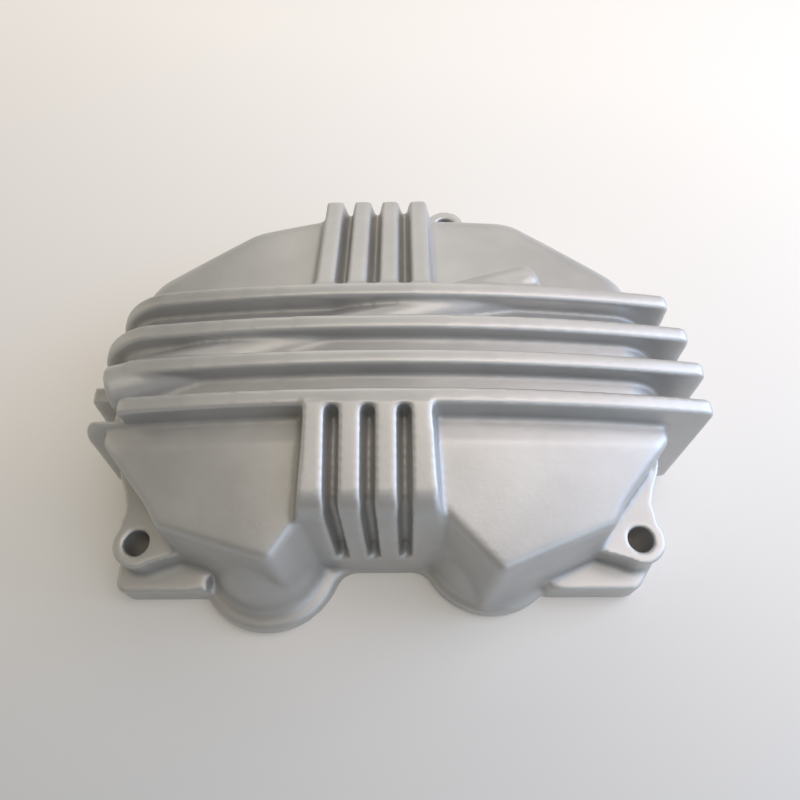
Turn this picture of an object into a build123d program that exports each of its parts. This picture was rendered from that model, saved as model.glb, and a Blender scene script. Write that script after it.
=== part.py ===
"""Finned valve cover for an overhead-camshaft engine, cast in one piece in light alloy.

The hollow crown stands on a gasket flange. Four long fins cross it from side to side and run down both
side walls, and four ribs run fore and aft, ahead of the fins and behind them. The tube of an oil gallery
lies slantwise across the fins. Two sloping decks end in pointed lobes at the front. Three bolt ears and two
low pads stand outside the wall.

x = 0 lies midway between the two front bolts, y = 0 is the line through them, with +y to the rear, and
z = 0 is the gasket face. The finished solid is moved so that the origin is under the middle of its box.
"""
import os
from math import cos, radians, sin, sqrt, tan

from build123d import *

# Crown: barrels across the cover, level in the middle, falling to the front and to the rear
CROWN_X = -4.5
CROWN_RADIUS = 560.0
VALLEY_LEVEL = 64.8
DECK_LEVEL = 62.0
DECK_CREASE_Y = 22.0
DECK_SLOPE = 14.0
DECK_ROUNDING = 3.5
REAR_LEVEL = 60.8
REAR_START_Y = 78.0
REAR_SLOPE = 16.0
REAR_ROUNDING = 16.0

# Wall and gasket flange
WALL = 4.0
WALL_DRAFT = 5.0
SIDE_X = 98.0
SIDE_FRONT_Y = 23.8
REAR_OUTLINE = ((SIDE_X, 96.8), (53.2, 136.5), (-28.0, 137.2), (-57.5, 130.0), (-SIDE_X, 95.5))
CORNER_RADIUS = 4.0
REAR_CORNER_RADIUS = 24.0
CAVITY_ROUNDING = 8.0
FLANGE_LIP = 3.0
FLANGE_HEIGHT = 7.0
FLANGE_ROUNDING = 3.0
FLANGE_BLEND = 8.0

# Fins, numbered from the front
FIN_FRONT_Y = 30.9
FIN_PITCH = 14.0
FIN_THICKNESS = 5.8
FIN_TOPS = (72.0, 71.9, 71.0, 69.8)
FIN_LEFT_REACHES = (104.8, 106.2, 104.0, 100.2)
FIN_RIGHT_REACHES = (106.4, 106.7, 104.4, 100.2)
FIN_FOOT_Z = 2.0
FIN_LEFT_SPREAD = 5.6
FIN_RIGHT_SPREAD = 4.7
FIN_END_RADIUS = 4.0
FIN_FOOT_RADIUS = 2.0
FIN_SHOULDER_RUN = 22.0
FIN_SHOULDER_Z = 38.0
FIN_SHOULDER_BEND = (0.32, 0.64)
FIN_EDGE = 0.8

# Ribs, numbered from the left
RIB_COUNT = 4
RIB_PITCH = 11.2
RIB_WIDTH = 6.4
RIB_X = -5.0
RIB_SIDE_DRAFT = 12.0
RIB_KINK_RADIUS = 9.0
SLOT_DRAFT = 10.0
SLOT_DEPTH = 8.6
SLOT_WALL_DEPTH = 6.0
SLOT_FOOT_Z = 18.0
REAR_RIB_X = -4.3
REAR_RIB_PITCH = 11.1
REAR_RIB_WIDTH = 6.3
REAR_RIB_DRAFT = 13.0
REAR_RIB_START_Z = 69.0
REAR_RIB_END_Y = 132.3
REAR_RIB_END_Z = 52.7
REAR_RIB_CORNER = 2.0
REAR_RIB_DEPTH = 20.0
REAR_RIB_FOOT_Z = 25.0

# Front: the bay between two pointed lobes with round feet
BAY_Y = -6.4
LEFT_TIP = (-33.9, -18.2)
RIGHT_TIP = (34.3, -21.8)
LOBE_RADIUS = 27.0
LEFT_LOBE = (-44.5, -0.8)
RIGHT_LOBE = (38.0, 4.6)

# Bolt ears and pads
EAR_HEIGHT = 25.0
EAR_RADIUS = 8.6
BOLT_HOLE = 9.0
FRONT_EAR_X = 88.7
REAR_EAR = (25.2, 143.7)
REAR_EAR_NECK = 10.0
PAD_HEIGHT = 12.5
PAD_DRAFT = 4.0
PAD_CORNER_RADIUS = 5.0
PAD_END_RADIUS = 2.5

# Oil gallery: a half-buried straight tube that crosses the valleys slantwise, and the pocket and notch
# that clear the two front fins round its left end
GALLERY_RADIUS = 8.5
GALLERY_RIGHT = (54.5, 83.8, 58.5)
GALLERY_LEFT = (-92.0, 43.1, 57.4)
GALLERY_ROUNDING = 5.0
POCKET_RADIUS = 11.6
POCKET_CENTRE = (-85.6, 44.2, 56.4)
POCKET_LENGTH = 50.0
NOTCH_FLOOR_Z = 57.4
NOTCH_DEPTH = 20.0


def barrel(level, at_y, slope, sink=0.0):
    """Solid under a crown surface that passes level at at_y and climbs to the rear by slope degrees."""
    angle = radians(slope)
    along = Vector(0, cos(angle), sin(angle))
    up = Vector(0, -sin(angle), cos(angle))
    centre = Vector(CROWN_X, at_y, level) - up * (CROWN_RADIUS + sink)
    return Plane(origin=centre, x_dir=(1, 0, 0), z_dir=along) * Cylinder(CROWN_RADIUS, 700)


def arch_height(top, x):
    """Height at x of a fin top that stands at top over the middle of the crown."""
    return top - CROWN_RADIUS + sqrt(CROWN_RADIUS**2 - (x - CROWN_X) ** 2)


def nearest_vertex(outline, point):
    """The corner of a plane outline that lies nearest to point."""
    return outline.vertices().sort_by_distance((point[0], point[1], 0))[0]


def wall_outline(inset=0.0):
    """Plan of the outer wall at the gasket face, or that outline drawn in by inset."""
    wall_behind_ribs = BAY_Y + SLOT_WALL_DEPTH
    outline = make_face(
        Polyline(
            (-SIDE_X, SIDE_FRONT_Y), (-80.8, 3.3), (-75.5, -5.4), LEFT_TIP, (-20.0, wall_behind_ribs),
            (12.1, wall_behind_ribs), RIGHT_TIP, (75.5, -5.4), (80.8, 3.3), (SIDE_X, SIDE_FRONT_Y),
            *REAR_OUTLINE, close=True,
        )
    )
    outline = fillet(outline.vertices().filter_by(lambda v: v.Y > FIN_FRONT_Y), REAR_CORNER_RADIUS)
    if inset:
        outline = offset(outline, -inset, kind=Kind.INTERSECTION)
    return outline


def crown_blocks(rounding, inset=0.0, sink=0.0):
    """Front and rear halves of the body under the crown, drawn in by inset and lowered by sink.

    The rim of the rear half is rounded by rounding.
    """
    tower = extrude(wall_outline(inset), 90, taper=WALL_DRAFT)
    ahead = Pos(0, FIN_FRONT_Y - 150 + sink, 50) * Box(300, 300, 200)
    behind = Pos(0, FIN_FRONT_Y + 150 + sink, 50) * Box(300, 300, 200)
    front = tower & ahead & barrel(DECK_LEVEL, 0, 0, sink)
    front = front & barrel(DECK_LEVEL, DECK_CREASE_Y, DECK_SLOPE, sink)
    rear = tower & behind & barrel(VALLEY_LEVEL, 0, 0, sink)
    rear = rear & barrel(REAR_LEVEL, REAR_START_Y, -REAR_SLOPE, sink)
    rear = fillet([e for e in rear.edges() if is_rim(e)], rounding)
    return front, rear


def is_rim(edge):
    """True for an edge between the crown and the wall, and not for a crease across the crown."""
    middle = edge @ 0.5
    on_crown = middle.Z > 35 and abs((edge % 0.5).Z) < 0.7
    crease = DECK_CREASE_Y - 5 < middle.Y < REAR_START_Y - 5 and abs(middle.X) < 80
    return on_crown and not crease


def body():
    """Closed crown with rounded rims."""
    front, rear = crown_blocks(REAR_ROUNDING)
    uprights = [e for e in front.edges() if abs((e % 0.5).Z) > 0.9 and (e @ 0.5).Y < FIN_FRONT_Y - 1]
    front = fillet(uprights, CORNER_RADIUS)
    front_rim = [e for e in front.edges() if is_rim(e) and (e @ 0.5).Y < FIN_FRONT_Y - 1]
    front = fillet(front_rim, DECK_ROUNDING)
    return front + rear


def cavity():
    """The hollow under the crown, open at the gasket face."""
    front, rear = crown_blocks(CAVITY_ROUNDING, WALL, WALL)
    return front + rear


def fin(index):
    """One cross fin: an arched plate with a square right end and a round left shoulder."""
    top = FIN_TOPS[index]
    left = -FIN_LEFT_REACHES[index]
    right = FIN_RIGHT_REACHES[index]
    shoulder_x = left + FIN_SHOULDER_RUN
    shoulder = (shoulder_x, arch_height(top, shoulder_x))
    shoulder_end = (left, FIN_SHOULDER_Z)
    bend_run, bend_rise = FIN_SHOULDER_BEND
    bend = (left + bend_run * FIN_SHOULDER_RUN, FIN_SHOULDER_Z + bend_rise * (shoulder[1] - FIN_SHOULDER_Z))
    right_top = (right, arch_height(top, right))
    right_foot = (right + FIN_RIGHT_SPREAD, FIN_FOOT_Z)
    left_foot = (left - FIN_LEFT_SPREAD, FIN_FOOT_Z)
    outline = make_face(
        [
            RadiusArc(shoulder, right_top, CROWN_RADIUS),
            Line(right_top, right_foot),
            Line(right_foot, left_foot),
            Line(left_foot, shoulder_end),
            ThreePointArc(shoulder_end, bend, shoulder),
        ]
    )
    outline = fillet(outline.vertices().filter_by(lambda v: v.Y < FIN_FOOT_Z + 1), FIN_FOOT_RADIUS)
    outline = fillet(nearest_vertex(outline, right_top), FIN_END_RADIUS)
    outline = fillet(nearest_vertex(outline, shoulder), 2 * FIN_END_RADIUS)
    outline = fillet(nearest_vertex(outline, shoulder_end), 2 * FIN_END_RADIUS)
    middle_y = FIN_FRONT_Y + index * FIN_PITCH + FIN_THICKNESS / 2
    plate = Pos(0, middle_y, 0) * extrude(Plane.XZ * outline, FIN_THICKNESS / 2, both=True)
    face_edges = [e for e in plate.edges() if abs((e % 0.5).Y) < 0.2]
    return chamfer(face_edges, FIN_EDGE)


def rib_positions(middle, pitch):
    """x of the middle of each rib of a group."""
    first = middle - pitch * (RIB_COUNT - 1) / 2
    return [first + pitch * index for index in range(RIB_COUNT)]


def draft_wedge(half_top, top_z, foot_z, draft, length):
    """Prism along y, centred on x = 0, with sides that spread by draft between top_z and foot_z."""
    half_foot = half_top + (top_z - foot_z) * tan(radians(draft))
    outline = make_face(
        Polyline(
            (-half_foot, 0), (-half_foot, foot_z), (-half_top, top_z), (-half_top, top_z + 10),
            (half_top, top_z + 10), (half_top, top_z), (half_foot, foot_z), (half_foot, 0), close=True,
        )
    )
    return extrude(Plane.XZ * outline, length, both=True)


def front_ribs():
    """The front rib group: one block that bends down the bay wall, with slots cut between the ribs."""
    rise = tan(radians(DECK_SLOPE))
    lean = tan(radians(WALL_DRAFT))
    top_z = FIN_TOPS[0]
    back_y = FIN_FRONT_Y + 1
    kink_z = (top_z - (FIN_FRONT_Y - BAY_Y) * rise) / (1 - lean * rise)
    kink_y = BAY_Y + kink_z * lean
    profile = make_face(
        Polyline(
            (back_y, 0), (back_y, top_z), (FIN_FRONT_Y, top_z), (kink_y, kink_z), (BAY_Y, 0),
            close=True,
        )
    )
    profile = fillet(nearest_vertex(profile, (kink_y, kink_z)), RIB_KINK_RADIUS)
    half_width = (RIB_PITCH * (RIB_COUNT - 1) + RIB_WIDTH) / 2
    block = extrude(Plane.YZ * profile, 40, both=True)
    block = Pos(RIB_X, 0, 0) * (block & draft_wedge(half_width, 70, 55, RIB_SIDE_DRAFT, 60))

    slope_angle = radians(DECK_SLOPE)
    wall_angle = radians(WALL_DRAFT)
    slot_width = RIB_PITCH - RIB_WIDTH
    slot_length = 80.0
    for left_rib in rib_positions(RIB_X, RIB_PITCH)[:-1]:
        slot_x = left_rib + RIB_PITCH / 2
        deck_plane = Plane(
            origin=(slot_x, FIN_FRONT_Y, top_z),
            x_dir=(1, 0, 0),
            z_dir=(0, -sin(slope_angle), cos(slope_angle)),
        )
        wall_plane = Plane(
            origin=(slot_x, BAY_Y + SLOT_FOOT_Z * lean, SLOT_FOOT_Z),
            x_dir=(1, 0, 0),
            z_dir=(0, -cos(wall_angle), sin(wall_angle)),
        )
        slot = SlotOverall(slot_length, slot_width, rotation=90)
        deck_slot = extrude(deck_plane * Pos(0, -slot_length / 2, 0) * slot, -SLOT_DEPTH, taper=SLOT_DRAFT)
        wall_slot = extrude(wall_plane * Pos(0, slot_length / 2, 0) * slot, -SLOT_WALL_DEPTH, taper=SLOT_DRAFT)
        block = block - deck_slot - wall_slot
    return block


def rear_ribs():
    """The four drafted ribs that run down the rear of the crown and end square above its edge."""
    fall = (REAR_RIB_START_Z - REAR_RIB_END_Z) / (REAR_RIB_END_Y - REAR_START_Y)
    overlap = FIN_THICKNESS / 4
    start_y = REAR_START_Y - overlap
    profile = make_face(
        Polyline(
            (start_y, REAR_RIB_FOOT_Z), (start_y, REAR_RIB_START_Z + fall * overlap),
            (REAR_RIB_END_Y, REAR_RIB_END_Z), (REAR_RIB_END_Y, REAR_RIB_FOOT_Z), close=True,
        )
    )
    profile = fillet(nearest_vertex(profile, (REAR_RIB_END_Y, REAR_RIB_END_Z)), REAR_RIB_CORNER)
    lengthwise = extrude(Plane.YZ * profile, REAR_RIB_WIDTH, both=True)
    half_top = REAR_RIB_WIDTH / 2
    half_foot = half_top + REAR_RIB_DEPTH * tan(radians(REAR_RIB_DRAFT))
    section = make_face(
        Polyline(
            (-half_foot, -REAR_RIB_DEPTH), (-half_top, 0), (half_top, 0), (half_foot, -REAR_RIB_DEPTH),
            close=True,
        )
    )
    run = Vector(0, REAR_RIB_END_Y - start_y, -fall * (REAR_RIB_END_Y - start_y))
    section_plane = Plane(
        origin=(0, start_y, REAR_RIB_START_Z + fall * overlap),
        x_dir=(-1, 0, 0),
        z_dir=run.normalized(),
    )
    sloped = extrude(section_plane * section, run.length + REAR_RIB_DEPTH)
    rib = lengthwise & sloped
    return [Pos(x, 0, 0) * rib for x in rib_positions(REAR_RIB_X, REAR_RIB_PITCH)]


def ear(centre):
    """Round boss of a bolt ear."""
    return Pos(*centre, 0) * extrude(Circle(EAR_RADIUS), EAR_HEIGHT)


def front_ear(side):
    """Front bolt ear and the flat web that joins it to the wall and the first fin; side is -1 or 1."""
    web = make_face(
        Polyline(
            (side * 84, -7.2), (side * 95.8, 5), (side * 94.9, 13), (side * 96.8, 19), (side * 99.5, 25),
            (side * 101, FIN_FRONT_Y + 1), (side * 78, FIN_FRONT_Y + 1), (side * 70, -3), close=True,
        )
    )
    return ear((side * FRONT_EAR_X, 0)) + extrude(web, EAR_HEIGHT)


def rear_ear():
    """Rear bolt ear, joined to the rear wall."""
    neck = Box(2 * EAR_RADIUS, REAR_EAR_NECK, EAR_HEIGHT, align=(Align.CENTER, Align.MAX, Align.MIN))
    return ear(REAR_EAR) + Pos(*REAR_EAR, 0) * neck


def flange():
    """Rim around the gasket face: a lip at the sides and rear, two round feet and the bay between them."""
    lip = offset(wall_outline(), FLANGE_LIP, kind=Kind.ARC)
    lip = lip & Pos(0, SIDE_FRONT_Y + 150) * Rectangle(300, 300)
    feet = Pos(*LEFT_LOBE) * Circle(LOBE_RADIUS) + Pos(*RIGHT_LOBE) * Circle(LOBE_RADIUS)
    bay = Pos(CROWN_X, BAY_Y + 10) * Rectangle(60, 20)
    front = feet + bay
    front = fillet(front.vertices().filter_by(lambda v: abs(v.Y - BAY_Y) < 0.1), FLANGE_BLEND)
    front = extrude(front, FLANGE_HEIGHT)
    top_rim = [e for e in front.edges() if (e @ 0.5).Z > FLANGE_HEIGHT - 0.1 and (e @ 0.5).Y < 0]
    return [extrude(lip, FLANGE_HEIGHT), fillet(top_rim, FLANGE_ROUNDING)]


def pads():
    """The two low pads ahead of the front ears, each with a large outer and a small inner corner."""
    left = make_face(Polyline((-99.8, 0), (-99.8, -15.6), (-64.5, -15.6), (-64.5, 0), close=True))
    right = make_face(
        Polyline((56.5, 0), (56.5, -15.8), (89.8, -15.8), (97.0, -6), (98.0, 0), close=True)
    )
    blocks = []
    for outline, inner_end in ((left, (-64.5, -15.6)), (right, (56.5, -15.8))):
        outline = fillet(nearest_vertex(outline, inner_end), PAD_END_RADIUS)
        outer_corners = outline.vertices().filter_by(lambda v: v.Y < -1 and abs(v.X) > 80)
        outline = fillet(outer_corners, PAD_CORNER_RADIUS)
        blocks.append(extrude(outline, PAD_HEIGHT, taper=PAD_DRAFT))
    return blocks


def gallery():
    """The slanting tube of the oil gallery, flat at its left end and rounded at its right end."""
    along = Vector(*GALLERY_RIGHT) - Vector(*GALLERY_LEFT)
    tube = extrude(Plane(origin=GALLERY_LEFT, z_dir=along) * Circle(GALLERY_RADIUS), along.length)
    tube = fillet(tube.edges().sort_by(Axis.X)[-1], GALLERY_ROUNDING)
    return chamfer(tube.edges().sort_by(Axis.X)[0], FIN_EDGE)


def end_pocket(kept):
    """Clearance about the left end of the gallery, outside the shapes that are kept whole."""
    mouth = Plane(origin=POCKET_CENTRE, z_dir=(-1, 0, 0))
    pocket = extrude(mouth * Circle(POCKET_RADIUS), POCKET_LENGTH)
    start_x, middle_y, _ = POCKET_CENTRE
    notch_width = middle_y - FIN_FRONT_Y + 1
    notch = Box(POCKET_LENGTH, notch_width, NOTCH_DEPTH, align=(Align.MAX, Align.MAX, Align.MIN))
    return pocket + Pos(start_x, middle_y, NOTCH_FLOOR_Z) * notch - kept


def bolt_holes():
    """Through holes of the three ears."""
    centres = [(-FRONT_EAR_X, 0), (FRONT_EAR_X, 0), REAR_EAR]
    return [Pos(x, y, 0) * Cylinder(BOLT_HOLE / 2, 4 * EAR_HEIGHT) for x, y in centres]


if __name__ == "__main__":
    crown = body()
    tube = gallery()
    fins = [fin(number) for number in range(len(FIN_TOPS))]
    cover = crown + (tube + fins)
    cover = cover + [front_ribs(), *rear_ribs(), front_ear(-1), front_ear(1), rear_ear(), *flange(), *pads()]
    cover = cover - end_pocket(kept=crown + tube) - cavity() - bolt_holes()
    box = cover.bounding_box()
    cover = Pos(-box.center().X, -box.center().Y, 0) * cover
    os.makedirs("parts", exist_ok=True)
    export_step(cover, "parts/valve_cover.step")
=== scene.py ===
"""Dresses the finned valve cover: one casting with its finishes, on a pale floor under soft lamps.

The casting is a copy of the frame's own solid with its edges and roots softened, as casting and blasting
leave them, and with feet that flare out of its two front lobes. Each kind of surface has one procedural
material: the satin outside, the bare inside and the milled gasket face.
"""

import math

import bmesh
import bpy
import numpy as np
from bpy.props import FloatProperty, FloatVectorProperty, IntProperty, PointerProperty
from mathutils import Matrix, Vector
from mathutils.kdtree import KDTree


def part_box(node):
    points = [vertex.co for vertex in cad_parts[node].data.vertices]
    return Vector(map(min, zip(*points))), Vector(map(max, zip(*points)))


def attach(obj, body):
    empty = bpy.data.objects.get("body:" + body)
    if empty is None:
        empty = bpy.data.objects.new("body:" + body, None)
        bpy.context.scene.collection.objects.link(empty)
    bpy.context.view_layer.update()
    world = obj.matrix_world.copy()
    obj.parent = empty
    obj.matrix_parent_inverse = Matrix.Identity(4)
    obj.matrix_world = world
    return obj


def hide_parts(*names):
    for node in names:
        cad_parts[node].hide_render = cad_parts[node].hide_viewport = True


bl_info = {
    "name": "Finned Valve Cover",
    "version": (1, 0, 0),
    "blender": (4, 5, 0),
    "location": "View3D > Sidebar > Valve Cover",
    "description": "Builds a finned cast valve cover with its finishes, floor, lamps and camera",
    "category": "Object",
}

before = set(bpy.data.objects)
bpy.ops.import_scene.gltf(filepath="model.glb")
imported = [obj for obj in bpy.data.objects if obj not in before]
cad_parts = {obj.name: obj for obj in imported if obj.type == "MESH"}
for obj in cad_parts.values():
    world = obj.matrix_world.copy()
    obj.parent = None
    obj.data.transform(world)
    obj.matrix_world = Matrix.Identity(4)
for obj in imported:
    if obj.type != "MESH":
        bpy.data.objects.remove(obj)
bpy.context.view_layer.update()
_, SOLID_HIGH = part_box("valve_cover")

# Order of the casting's materials, the height under which the gasket face is cut level, and how far down a
# face of the hollow's ceiling looks
OUTSIDE, INSIDE, MILLED = range(3)
MILLED_CUT = 0.00045
CEILING_NORMAL = -0.8

# Distance at which vertices count as one, share of the way that a smoothing pass moves a vertex, and
# millimetres in a metre
MERGE_DISTANCE = 1e-6
SMOOTHING_FACTOR = 0.5
MILLIMETRES = 1000.0

# The lobes' lower walls: their draft, how deep a flare sinks into them, the steps of its spin, and the
# heights and distances over which the extra smoothing comes and goes
WALL_DRAFT = math.radians(5.0)
WALL_BITE = 0.0015
FLARE_STEPS = 64
LOBE_LOW = 0.0066
LOBE_HIGH = 0.036
LOBE_FADE = 0.003
LOBE_TOP_FADE = 4.0 * LOBE_FADE
LEAST_WEIGHT = 0.01

# Each lobe's centre, side, edge against the ribs and reach, the profile of its flare as radius and height,
# and a point at the foot of each front wall with the way that the wall faces
LOBES = (
    {
        "centre": (-0.0444, -0.0631),
        "side": -1,
        "rib_edge": -0.0282,
        "reach": 0.031,
        "profile": (
            (0.0234, 0.0010), (0.0234, 0.0070), (0.0217, 0.0079), (0.0206, 0.0094), (0.0199, 0.0118),
            (0.0188, 0.0160), (0.0168, 0.0215), (0.0138, 0.0275), (0.0105, 0.0330),
        ),
        "walls": (
            {"foot": (-0.0754, -0.0677), "facing": math.radians(-107.1)},
            {"foot": (-0.0338, -0.0805), "facing": math.radians(-38.0)},
        ),
    },
    {
        "centre": (0.0381, -0.0577),
        "side": 1,
        "rib_edge": 0.0190,
        "reach": 0.031,
        "profile": (
            (0.0250, 0.0010), (0.0250, 0.0070), (0.0240, 0.0079), (0.0233, 0.0096), (0.0227, 0.0125),
            (0.0213, 0.0180), (0.0195, 0.0240), (0.0170, 0.0300),
        ),
        "walls": (
            {"foot": (0.0122, -0.0627), "facing": math.radians(-133.9)},
            {"foot": (0.0756, -0.0677), "facing": math.radians(-68.3)},
        ),
    },
)


# ---------------------------------------------------------------- shader expressions

# Places of the outputs that are used on nodes with several
OBJECT_COORDINATES = 3
ATTRIBUTE_FACTOR = 2
WAVE_FACTOR = 1
CAMERA_RAY, GLOSSY_RAY, TRANSMISSION_RAY = 0, 3, 6


class Socket:
    """A shader socket that takes part in Python sums, so that 1 - mask makes its own Math node."""

    def __init__(self, tree, socket):
        self.tree = tree
        self.socket = socket

    def math(self, operation, other, swap=False):
        first, second = (other, self) if swap else (self, other)
        return self.tree.node("ShaderNodeMath", {"operation": operation}, {0: first, 1: second})[0]

    def __add__(self, other):
        return self.math("ADD", other)

    def __radd__(self, other):
        return self.math("ADD", other, swap=True)

    def __sub__(self, other):
        return self.math("SUBTRACT", other)

    def __rsub__(self, other):
        return self.math("SUBTRACT", other, swap=True)

    def __mul__(self, other):
        return self.math("MULTIPLY", other)

    def limited(self):
        """This sum, held between 0 and 1 by its own node."""
        self.socket.node.use_clamp = True
        return self


class ShaderTree:
    """The nodes of one material or of the world."""

    def __init__(self, owner):
        owner.use_nodes = True
        self.nodes = owner.node_tree.nodes
        self.links = owner.node_tree.links
        self.nodes.clear()

    def node(self, kind, settings=None, inputs=None):
        """Adds a node, sets it up, feeds its sockets and returns its outputs as Socket values."""
        made = self.nodes.new(kind)
        for name, value in (settings or {}).items():
            setattr(made, name, value)
        for key, value in (inputs or {}).items():
            if isinstance(value, Socket):
                self.links.new(value.socket, made.inputs[key])
            else:
                made.inputs[key].default_value = value
        return [Socket(self, output) for output in made.outputs if output.enabled]


def mixed(tree, factor, first, second):
    """Colour that goes from first to second as factor goes from 0 to 1."""
    return tree.node(
        "ShaderNodeMix", {"data_type": "RGBA"}, {"Factor": factor, "A": first, "B": second}
    )[0]


def opaque(colour):
    """An RGB setting as the RGBA that a colour socket takes."""
    return (*colour, 1.0)


# ---------------------------------------------------------------- settings


def watts(name, description, default):
    """Setting for the power of one lamp."""
    return FloatProperty(name=name, description=description, default=default, min=0.0, unit="POWER")


class CastingSettings(bpy.types.PropertyGroup):
    """Sizes and colours of the casting."""

    grain_size: FloatProperty(
        name="Grain Size",
        description="Cell size at which the solid is remade as one even skin",
        default=0.0008,
        min=0.0005,
        max=0.003,
        precision=5,
        unit="LENGTH",
    )
    softening: IntProperty(
        name="Softening",
        description="Passes that round the edges and fill the roots",
        default=6,
        min=0,
        max=40,
    )
    lobe_blending: IntProperty(
        name="Lobe Blending",
        description="Passes that round the lobes' corners and the roots of their feet",
        default=26,
        min=0,
        max=200,
    )
    wear_passes: IntProperty(
        name="Wear Passes",
        description="Passes that make the worn shape, against which edges and roots are measured",
        default=24,
        min=1,
        max=200,
    )
    triangle_budget: IntProperty(
        name="Triangle Budget",
        description="Most triangles that the finished casting may have",
        default=190000,
        min=20000,
        max=200000,
    )
    paint_colour: FloatVectorProperty(
        name="Satin Colour",
        description="Colour of the blasted and lacquered outside",
        default=(0.52, 0.515, 0.505),
        subtype="COLOR",
        min=0.0,
        max=1.0,
    )
    bare_colour: FloatVectorProperty(
        name="Bare Colour",
        description="Colour of the bare casting inside",
        default=(0.42, 0.41, 0.40),
        subtype="COLOR",
        min=0.0,
        max=1.0,
    )
    milled_colour: FloatVectorProperty(
        name="Milled Colour",
        description="Colour of the milled gasket face",
        default=(0.72, 0.72, 0.73),
        subtype="COLOR",
        min=0.0,
        max=1.0,
    )


class StageSettings(bpy.types.PropertyGroup):
    """Floor, lamps and camera."""

    floor_colour: FloatVectorProperty(
        name="Floor Colour",
        description="Colour of the plain floor",
        default=(0.70, 0.685, 0.66),
        subtype="COLOR",
        min=0.0,
        max=1.0,
    )
    overhead_power: watts("Overhead Power", "Power of the lamp straight above", 1.85)
    key_power: watts("Key Power", "Power of the lamp above on the right", 2.9)
    window_power: watts("Window Power", "Power of the cool lamp low on the right", 6.6)
    side_power: watts("Side Power", "Power of the warm lamp low on the left", 0.6)
    rear_power: watts("Rear Power", "Power of the lamp behind the part", 2.0)
    corner_power: watts("Corner Power", "Power of the lamp behind the part on the right", 1.2)
    front_power: watts("Front Power", "Power of the cool lamp ahead of the part on the right", 2.4)
    ambient: FloatProperty(
        name="Ambient",
        description="Strength of the even light from all round",
        default=0.05,
        min=0.0,
        max=2.0,
    )
    reflected: FloatProperty(
        name="Reflected Room",
        description="Brightness of the surroundings in the part's gloss",
        default=0.33,
        min=0.0,
        max=1.0,
    )
    backdrop: FloatProperty(
        name="Backdrop",
        description="Brightness of the surroundings behind the floor",
        default=0.80,
        min=0.0,
        max=1.0,
    )
    camera_place: FloatVectorProperty(
        name="Camera Place",
        description="Where the camera stands",
        default=(0.006663, -0.116358, 0.242105),
        subtype="TRANSLATION",
        unit="LENGTH",
    )
    camera_pitch: FloatProperty(
        name="Camera Pitch",
        description="Angle of the view below the horizon",
        default=math.radians(63.25),
        subtype="ANGLE",
    )
    camera_yaw: FloatProperty(
        name="Camera Yaw",
        description="Turn of the view to the right",
        default=math.radians(-1.07),
        subtype="ANGLE",
    )
    camera_roll: FloatProperty(
        name="Camera Roll",
        description="Tilt of the picture",
        default=math.radians(-1.49),
        subtype="ANGLE",
    )
    camera_lens: FloatProperty(
        name="Camera Lens",
        description="Focal length in millimetres on a 36 mm frame",
        default=27.99,
        min=1.0,
    )


# ---------------------------------------------------------------- casting


def flare(lobe, wall):
    """Mesh of the round foot that grows out of one front wall of a lobe, up to where it sinks into it."""
    rings = [Vector((radius, 0.0, height)) for radius, height in lobe["profile"]]
    rings = [Vector((0.0, 0.0, rings[0].z)), *rings, Vector((0.0, 0.0, rings[-1].z))]
    foot = bmesh.new()
    points = [foot.verts.new(point) for point in rings]
    lines = [foot.edges.new(pair) for pair in zip(points, points[1:])]
    spun = {"axis": (0.0, 0.0, 1.0), "cent": (0.0, 0.0, 0.0), "angle": math.tau, "steps": FLARE_STEPS}
    bmesh.ops.spin(foot, geom=points + lines, use_merge=True, **spun)
    bmesh.ops.remove_doubles(foot, verts=foot.verts, dist=MERGE_DISTANCE)
    bmesh.ops.translate(foot, verts=foot.verts, vec=(*lobe["centre"], 0.0))
    outward = Vector((math.cos(wall["facing"]), math.sin(wall["facing"]), math.tan(WALL_DRAFT)))
    inside_wall = Vector((*wall["foot"], 0.0)) - outward * WALL_BITE
    whole = [*foot.verts, *foot.edges, *foot.faces]
    cut = bmesh.ops.bisect_plane(
        foot, geom=whole, plane_co=inside_wall, plane_no=outward, clear_inner=True
    )["geom_cut"]
    bmesh.ops.holes_fill(foot, edges=[item for item in cut if isinstance(item, bmesh.types.BMEdge)])
    bmesh.ops.recalc_face_normals(foot, faces=foot.faces)
    mesh = bpy.data.meshes.new("flare")
    foot.to_mesh(mesh)
    foot.free()
    return mesh


def with_modifiers(obj, *modifiers):
    """New mesh of obj as it is after the given modifiers, each a kind and its settings."""
    for kind, values in modifiers:
        modifier = obj.modifiers.new(kind.lower(), kind)
        for name, value in values.items():
            setattr(modifier, name, value)
    mesh = evaluated_mesh(obj)
    obj.modifiers.clear()
    return mesh


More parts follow.
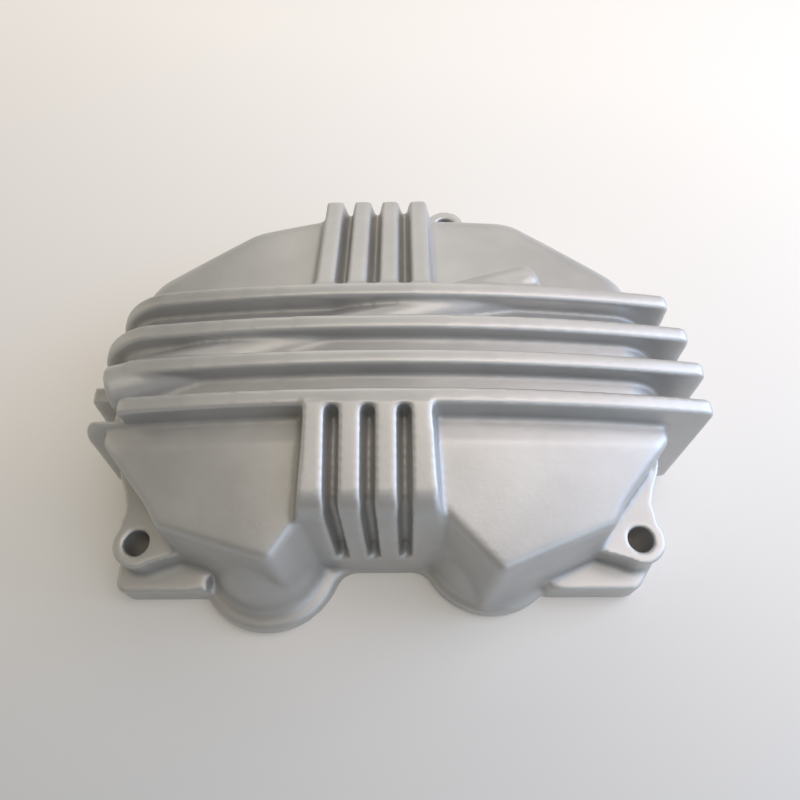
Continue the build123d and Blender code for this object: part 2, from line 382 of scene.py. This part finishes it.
def softened_copy(node, settings):
    """Object whose mesh is the node's solid, remade as one skin with soft edges, roots and lobes.

    Each vertex carries its relief: how far it stands out of the worn shape, and below 0 in a root.
    """
    solid = node.data.copy()
    loose = bmesh.new()
    loose.from_mesh(solid)
    bmesh.ops.remove_doubles(loose, verts=loose.verts, dist=MERGE_DISTANCE)
    for foot in [flare(lobe, wall) for lobe in LOBES for wall in lobe["walls"]]:
        loose.from_mesh(foot)
        bpy.data.meshes.remove(foot)
    loose.to_mesh(solid)
    loose.free()
    cover = bpy.data.objects.new("cast_cover", solid)
    bpy.context.scene.collection.objects.link(cover)
    skin = with_modifiers(
        cover,
        ("REMESH", {"mode": "VOXEL", "voxel_size": settings.grain_size, "use_smooth_shade": True}),
        ("SMOOTH", {"factor": SMOOTHING_FACTOR, "iterations": settings.softening}),
    )
    cover.data = skin
    group_lobes(cover)
    blend = {"iterations": settings.lobe_blending, "vertex_group": "lobes"}
    dense = with_modifiers(cover, ("SMOOTH", {"factor": SMOOTHING_FACTOR, **blend}))
    cover.vertex_groups.clear()
    cover.data = dense
    wear = {"factor": SMOOTHING_FACTOR, "iterations": settings.wear_passes}
    worn = with_modifiers(cover, ("SMOOTH", wear))
    ratio = min(1.0, settings.triangle_budget / (2.0 * len(dense.polygons)))
    cover.data = with_modifiers(cover, ("DECIMATE", {"ratio": ratio}))
    cover.data.name = "cast_cover"
    add_relief(cover.data, dense, worn)
    for mesh in (solid, skin, dense, worn):
        bpy.data.meshes.remove(mesh)
    return cover


def group_lobes(cover):
    """Vertex group of the lobes' lower walls, where the corner and the foot's root are rounder."""
    group = cover.vertex_groups.new(name="lobes")
    points = vectors(cover.data.vertices, "co")
    rise = np.clip((points[:, 2] - LOBE_LOW) / LOBE_FADE, 0.0, 1.0)
    fall = np.clip((LOBE_HIGH - points[:, 2]) / LOBE_TOP_FADE, 0.0, 1.0)
    weights = np.zeros(len(points))
    for lobe in LOBES:
        centre_x, centre_y = lobe["centre"]
        away = np.hypot(points[:, 0] - centre_x, points[:, 1] - centre_y)
        ahead = np.clip((centre_y - points[:, 1]) / LOBE_FADE, 0.0, 1.0)
        near = np.clip((lobe["reach"] - away) / LOBE_FADE, 0.0, 1.0)
        clear = np.clip((lobe["side"] * (points[:, 0] - lobe["rib_edge"])) / LOBE_FADE, 0.0, 1.0)
        weights = np.maximum(weights, near * ahead * clear * rise * fall)
    for index in np.flatnonzero(weights > LEAST_WEIGHT):
        group.add([int(index)], float(weights[index]), "REPLACE")


def evaluated_mesh(obj):
    """New mesh of obj with its modifiers applied."""
    view = bpy.context.evaluated_depsgraph_get()
    view.update()
    return bpy.data.meshes.new_from_object(obj.evaluated_get(view), depsgraph=view)


def vectors(values, name):
    """Array of one vector for each vertex, or for each vertex normal."""
    flat = np.empty(len(values) * 3)
    values.foreach_get(name, flat)
    return flat.reshape(-1, 3)


def add_relief(mesh, skin, worn):
    """Gives each vertex of mesh the height, in millimetres, of skin over worn at the nearest place."""
    before = vectors(skin.vertices, "co")
    normals = vectors(skin.vertex_normals, "vector")
    height = MILLIMETRES * np.sum((before - vectors(worn.vertices, "co")) * normals, axis=1)
    near = KDTree(len(before))
    for index, point in enumerate(before):
        near.insert(point, index)
    near.balance()
    relief = mesh.attributes.new("relief", "FLOAT", "POINT")
    relief.data.foreach_set("value", [height[near.find(v.co)[1]] for v in mesh.vertices])


def mark_surfaces(mesh):
    """Cuts the gasket face level and sharp, and sorts the faces into outside, inside and milled."""
    shell = bmesh.new()
    shell.from_mesh(mesh)
    for vertex in shell.verts:
        if vertex.co.z < MILLED_CUT:
            vertex.co.z = 0.0
    shell.normal_update()
    for face in shell.faces:
        level = max(vertex.co.z for vertex in face.verts) < MERGE_DISTANCE
        face.material_index = MILLED if level else OUTSIDE
    down = [face for face in shell.faces if face.normal.z < CEILING_NORMAL]
    under = [face for face in down if face.material_index != MILLED]
    ceiling = min(under, key=lambda face: face.calc_center_median().xy.length)
    ceiling.material_index = INSIDE
    todo = [ceiling]
    while todo:
        for edge in todo.pop().edges:
            for face in edge.link_faces:
                if face.material_index == OUTSIDE:
                    face.material_index = INSIDE
                    todo.append(face)
    for edge in shell.edges:
        edge.smooth = len({face.material_index for face in edge.link_faces}) == 1
    for face in shell.faces:
        face.smooth = True
    shell.to_mesh(mesh)
    shell.free()


def noise(tree, place, scale, detail=2.0, roughness=0.5):
    """Noise from 0 to 1 about the middle of the part."""
    inputs = {"Vector": place, "Scale": scale, "Detail": detail, "Roughness": roughness}
    return tree.node("ShaderNodeTexNoise", None, inputs)[0]


def finish(tree, colour, roughness, height, depth, metallic):
    """Closes a material with one Principled shader and its bump."""
    bump = tree.node("ShaderNodeBump", None, {"Strength": 0.5, "Distance": depth, "Height": height})[0]
    inputs = {"Base Color": colour, "Metallic": metallic, "Roughness": roughness, "Normal": bump}
    shader = tree.node("ShaderNodeBsdfPrincipled", None, inputs)[0]
    tree.node("ShaderNodeOutputMaterial", None, {"Surface": shader})


def satin_outside(settings):
    """Blasted casting under a thin satin lacquer, rubbed pale at its edges, with painted shade that
    darkens its roots.
    """
    material = bpy.data.materials.new("satin_outside")
    tree = ShaderTree(material)
    place = tree.node("ShaderNodeTexCoord")[OBJECT_COORDINATES]
    relief = tree.node("ShaderNodeAttribute", {"attribute_name": "relief"})[ATTRIBUTE_FACTOR]
    clouds = noise(tree, place, scale=38.0, detail=3.0, roughness=0.55)
    grain = noise(tree, place, scale=1500.0, detail=2.0, roughness=0.6)
    pits = noise(tree, place, scale=420.0)
    pale = opaque([min(1.0, c * 1.06) for c in settings.paint_colour])
    deep = opaque([c * 0.93 for c in settings.paint_colour])
    rubbed = opaque([min(1.0, c * 1.25) for c in settings.paint_colour])
    # Darker colour for the painted shade in the roots
    root_shade = opaque([c * 0.80 for c in settings.paint_colour])
    colour = mixed(tree, ((clouds - 0.35) * 3.3).limited(), deep, pale)
    edge = ((relief - 0.05 + pits * 0.1) * 3.0).limited()
    # Painted shade: root darkens the colour where the skin lies below the worn shape, in the roots, and
    # also roughens them
    root = ((-0.05 - relief) * 3.0).limited()
    colour = mixed(tree, edge * 0.5, colour, rubbed)
    colour = mixed(tree, root * 0.5, colour, root_shade)
    roughness = 0.36 + clouds * 0.10 + root * 0.15
    finish(tree, colour, roughness, grain * 0.6 + pits * 0.9, depth=0.00009, metallic=0.6)
    return material


def bare_inside(settings):
    """Bare cast metal with the coarse skin of the mould and a brown film of burnt oil."""
    material = bpy.data.materials.new("bare_inside")
    tree = ShaderTree(material)
    place = tree.node("ShaderNodeTexCoord")[OBJECT_COORDINATES]
    relief = tree.node("ShaderNodeAttribute", {"attribute_name": "relief"})[ATTRIBUTE_FACTOR]
    clouds = noise(tree, place, scale=26.0, detail=4.0, roughness=0.6)
    film = noise(tree, place, scale=60.0, detail=3.0, roughness=0.6)
    sand = noise(tree, place, scale=900.0, detail=3.0, roughness=0.65)
    lumps = noise(tree, place, scale=260.0)
    pale = opaque([min(1.0, c * 1.12) for c in settings.bare_colour])
    deep = opaque([c * 0.80 for c in settings.bare_colour])
    oily = opaque([c * tint for c, tint in zip(settings.bare_colour, (0.62, 0.50, 0.36))])
    colour = mixed(tree, ((clouds - 0.3) * 2.5).limited(), deep, pale)
    root = ((-0.03 - relief) * 3.0).limited()
    oil = ((film - 0.50) * 4.0 + root * 0.7).limited()
    colour = mixed(tree, oil * 0.7, colour, oily)
    roughness = 0.52 + clouds * 0.15 - oil * 0.16
    finish(tree, colour, roughness, sand * 0.7 + lumps, depth=0.00022, metallic=0.75)
    return material


# Shift that puts the middle of the mill's arcs far to the left of the part
ARC_CENTRE_SHIFT = (0.35, 0.02, 0.0)


def milled_face(settings):
    """Gasket face with the overlapping arcs of a face mill."""
    material = bpy.data.materials.new("milled_face")
    tree = ShaderTree(material)
    place = tree.node("ShaderNodeTexCoord")[OBJECT_COORDINATES]
    moved = {"Vector": place, "Location": ARC_CENTRE_SHIFT}
    arc_place = tree.node("ShaderNodeMapping", None, moved)[0]
    rings = {"wave_type": "RINGS", "rings_direction": "Z", "wave_profile": "SAW"}
    broad = {"Vector": arc_place, "Scale": 190.0, "Distortion": 0.3, "Detail": 1.0}
    arcs = tree.node("ShaderNodeTexWave", rings, broad)[WAVE_FACTOR]
    narrow = {"Vector": arc_place, "Scale": 700.0, "Distortion": 0.6, "Detail": 2.0}
    fine = tree.node("ShaderNodeTexWave", rings, narrow)[WAVE_FACTOR]
    stains = noise(tree, place, scale=45.0, detail=3.0, roughness=0.6)
    pale = opaque(settings.milled_colour)
    deep = opaque([c * 0.82 for c in settings.milled_colour])
    colour = mixed(tree, (arcs * 0.5 + stains * 0.5).limited(), deep, pale)
    roughness = 0.26 + arcs * 0.08 + stains * 0.12
    finish(tree, colour, roughness, arcs * 0.6 + fine * 0.4, depth=0.00004, metallic=1.0)
    return material


class VALVECOVER_OT_casting(bpy.types.Operator):
    """Make the cast cover from the frame's solid and give it its finishes"""

    bl_idname = "valvecover.casting"
    bl_label = "Casting"

    def execute(self, context):
        settings = context.scene.valve_cover_casting
        cover = softened_copy(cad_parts["valve_cover"], settings)
        cover.data.materials.clear()
        for material in (satin_outside(settings), bare_inside(settings), milled_face(settings)):
            cover.data.materials.append(material)
        mark_surfaces(cover.data)
        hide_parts("valve_cover")
        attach(cover, "root")
        return {"FINISHED"}


# ---------------------------------------------------------------- stage


# Each lamp's name, direction from the part, size and colour
LAMPS = (
    ("overhead", (0.0, 0.0, 1.0), 0.7, (1.0, 0.92, 0.79)),
    ("key", (0.52, 0.10, 0.85), 0.7, (1.0, 0.92, 0.94)),
    ("window", (0.93, 0.15, 0.34), 0.7, (0.52, 0.69, 1.0)),
    ("side", (-0.93, 0.15, 0.34), 0.7, (1.0, 0.97, 0.80)),
    ("rear", (0.0, 0.87, 0.50), 0.8, (1.0, 0.97, 0.91)),
    ("corner", (0.62, 0.60, 0.50), 0.8, (1.0, 0.88, 0.82)),
    ("front", (0.62, -0.60, 0.50), 0.8, (0.64, 0.79, 1.0)),
)
LAMP_DISTANCE = 1.0

# Colour of the backdrop, and how far from the part the floor starts and ends to turn into it
BACKDROP_COLOUR = (1.0, 0.985, 0.97)
FLOOR_NEAR = 0.28
FLOOR_FAR = 0.75
FLOOR_HALF_WIDTH = 4.0
FLOOR_ROUGHNESS = 0.6

# The painted light that lightens the floor, more to the rear and to the right and less ahead of the part:
# its colour, its strength under the part, what is added to that for each metre to the rear, ahead of the
# part and to the right, and the most that it may be
PAINTED_LIGHT_COLOUR = (1.0, 0.88, 0.76)
PAINTED_LIGHT_LEVEL = 0.235
PAINTED_LIGHT_ALONG = 0.6
PAINTED_LIGHT_AHEAD = 0.5
PAINTED_LIGHT_ACROSS = 0.17
PAINTED_LIGHT_MOST = 0.38

# Colours of the even light and of the room in the part's gloss
AMBIENT_COLOUR = (0.8, 1.0, 0.8)
REFLECTED_COLOUR = (1.0, 0.89, 0.73)

# Width of the camera's frame in millimetres, and the nearest distance that it shows
SENSOR_WIDTH = 36.0
CLIP_START = 0.01


def area_lamp(name, direction, size, power, colour, aim):
    """Hangs a square soft lamp that looks at aim from its direction."""
    light = bpy.data.lights.new(name, "AREA")
    light.shape = "SQUARE"
    light.size = size
    light.energy = power
    light.color = colour
    lamp = bpy.data.objects.new(name, light)
    way = Vector(direction).normalized()
    lamp.location = Vector(aim) + way * LAMP_DISTANCE
    lamp.rotation_mode = "QUATERNION"
    lamp.rotation_quaternion = (-way).to_track_quat("-Z", "Y")
    bpy.context.scene.collection.objects.link(lamp)


def camera_matrix(settings):
    """Place and turn of the camera from its pitch, yaw and roll."""
    pitch, yaw, roll = settings.camera_pitch, settings.camera_yaw, settings.camera_roll
    forward = Vector(
        (math.sin(yaw) * math.cos(pitch), math.cos(yaw) * math.cos(pitch), -math.sin(pitch))
    )
    level = Vector((math.cos(yaw), -math.sin(yaw), 0.0))
    upright = level.cross(forward)
    right = math.cos(roll) * level + math.sin(roll) * upright
    up = -math.sin(roll) * level + math.cos(roll) * upright
    turn = Matrix((right, up, -forward)).transposed().to_4x4()
    return Matrix.Translation(Vector(settings.camera_place)) @ turn


def floor_material(settings):
    """Plain matt floor with painted light: to the camera and in reflections it lightens to the rear and to
    the right, less ahead of the part, and far away it turns into the backdrop.
    """
    material = bpy.data.materials.new("pale_floor")
    tree = ShaderTree(material)
    paint = {"Base Color": opaque(settings.floor_colour), "Roughness": FLOOR_ROUGHNESS}
    matt = tree.node("ShaderNodeBsdfPrincipled", None, paint)[0]
    place = tree.node("ShaderNodeTexCoord")[OBJECT_COORDINATES]
    x, y, _ = tree.node("ShaderNodeSeparateXYZ", None, {0: place})
    ahead = y.math("MINIMUM", 0.0)
    # Painted light: the floor's emission grows to the rear and to the right and shrinks ahead of the part,
    # seen only by the camera and in reflections
    painted_light_strength = PAINTED_LIGHT_LEVEL + y * PAINTED_LIGHT_ALONG + ahead * PAINTED_LIGHT_AHEAD + x * PAINTED_LIGHT_ACROSS
    painted_light_strength = painted_light_strength.limited().math("MINIMUM", PAINTED_LIGHT_MOST)
    rays = tree.node("ShaderNodeLightPath")
    seen = (rays[CAMERA_RAY] + rays[GLOSSY_RAY] + rays[TRANSMISSION_RAY]).limited()
    light = {"Color": opaque(PAINTED_LIGHT_COLOUR), "Strength": painted_light_strength * seen}
    painted_floor_light = tree.node("ShaderNodeEmission", None, light)[0]
    near = tree.node("ShaderNodeAddShader", None, {0: matt, 1: painted_floor_light})[0]
    haze = {"Color": opaque(BACKDROP_COLOUR), "Strength": settings.backdrop}
    far = tree.node("ShaderNodeEmission", None, haze)[0]
    reach = tree.node("ShaderNodeVectorMath", {"operation": "LENGTH"}, {0: place})[0]
    away = tree.node(
        "ShaderNodeMapRange",
        {"interpolation_type": "SMOOTHSTEP"},
        {"Value": reach, "From Min": FLOOR_NEAR, "From Max": FLOOR_FAR},
    )[0]
    surface = tree.node("ShaderNodeMixShader", None, {0: away * seen, 1: near, 2: far})[0]
    tree.node("ShaderNodeOutputMaterial", None, {"Surface": surface})
    return material


def light_world(settings):
    """Pale surroundings for the camera and for reflections, and an even soft light for the rest."""
    world = bpy.data.worlds.new("soft_room")
    bpy.context.scene.world = world
    tree = ShaderTree(world)
    rays = tree.node("ShaderNodeLightPath")

    def surround(colour, strength):
        inputs = {"Color": opaque(colour), "Strength": strength}
        return tree.node("ShaderNodeBackground", None, inputs)[0]

    room = surround(AMBIENT_COLOUR, settings.ambient)
    reflected = surround(REFLECTED_COLOUR, settings.reflected)
    backdrop = surround(BACKDROP_COLOUR, settings.backdrop)
    mirrored = (rays[GLOSSY_RAY] + rays[TRANSMISSION_RAY]).limited()
    unseen = tree.node("ShaderNodeMixShader", None, {0: mirrored, 1: room, 2: reflected})[0]
    blend = tree.node("ShaderNodeMixShader", None, {0: rays[CAMERA_RAY], 1: unseen, 2: backdrop})[0]
    tree.node("ShaderNodeOutputWorld", None, {"Surface": blend})


class VALVECOVER_OT_stage(bpy.types.Operator):
    """Lay the floor, hang the lamps and stand the camera"""

    bl_idname = "valvecover.stage"
    bl_label = "Stage"

    def execute(self, context):
        settings = context.scene.valve_cover_stage
        scene = context.scene
        plan = bmesh.new()
        bmesh.ops.create_grid(plan, x_segments=1, y_segments=1, size=FLOOR_HALF_WIDTH)
        mesh = bpy.data.meshes.new("floor")
        plan.to_mesh(mesh)
        plan.free()
        floor = bpy.data.objects.new("floor", mesh)
        mesh.materials.append(floor_material(settings))
        scene.collection.objects.link(floor)
        aim = (0.0, 0.0, SOLID_HIGH.z / 2)
        for name, direction, size, colour in LAMPS:
            area_lamp(name, direction, size, getattr(settings, name + "_power"), colour, aim)
        light_world(settings)
        data = bpy.data.cameras.new("camera")
        data.sensor_width = SENSOR_WIDTH
        data.lens = settings.camera_lens
        data.clip_start = CLIP_START
        camera = bpy.data.objects.new("camera", data)
        camera.matrix_world = camera_matrix(settings)
        scene.collection.objects.link(camera)
        scene.camera = camera
        scene.view_settings.view_transform = "Standard"
        return {"FINISHED"}


class VALVECOVER_PT_panel(bpy.types.Panel):
    """Buttons and settings of the valve cover"""

    bl_idname = "VALVECOVER_PT_panel"
    bl_label = "Valve Cover"
    bl_space_type = "VIEW_3D"
    bl_region_type = "UI"
    bl_category = "Valve Cover"

    def draw(self, context):
        layout = self.layout
        for settings in (context.scene.valve_cover_casting, context.scene.valve_cover_stage):
            box = layout.box()
            for name in settings.bl_rna.properties.keys():
                if name not in {"name", "rna_type"}:
                    box.prop(settings, name)
        layout.operator(VALVECOVER_OT_casting.bl_idname)
        layout.operator(VALVECOVER_OT_stage.bl_idname)


CLASSES = (
    CastingSettings,
    StageSettings,
    VALVECOVER_OT_casting,
    VALVECOVER_OT_stage,
    VALVECOVER_PT_panel,
)


def register():
    for cls in CLASSES:
        bpy.utils.register_class(cls)
    bpy.types.Scene.valve_cover_casting = PointerProperty(type=CastingSettings)
    bpy.types.Scene.valve_cover_stage = PointerProperty(type=StageSettings)


def unregister():
    del bpy.types.Scene.valve_cover_stage
    del bpy.types.Scene.valve_cover_casting
    for cls in reversed(CLASSES):
        bpy.utils.unregister_class(cls)


def main():
    register()
    bpy.ops.valvecover.stage()
    bpy.ops.valvecover.casting()


if __name__ == "__main__":
    main()
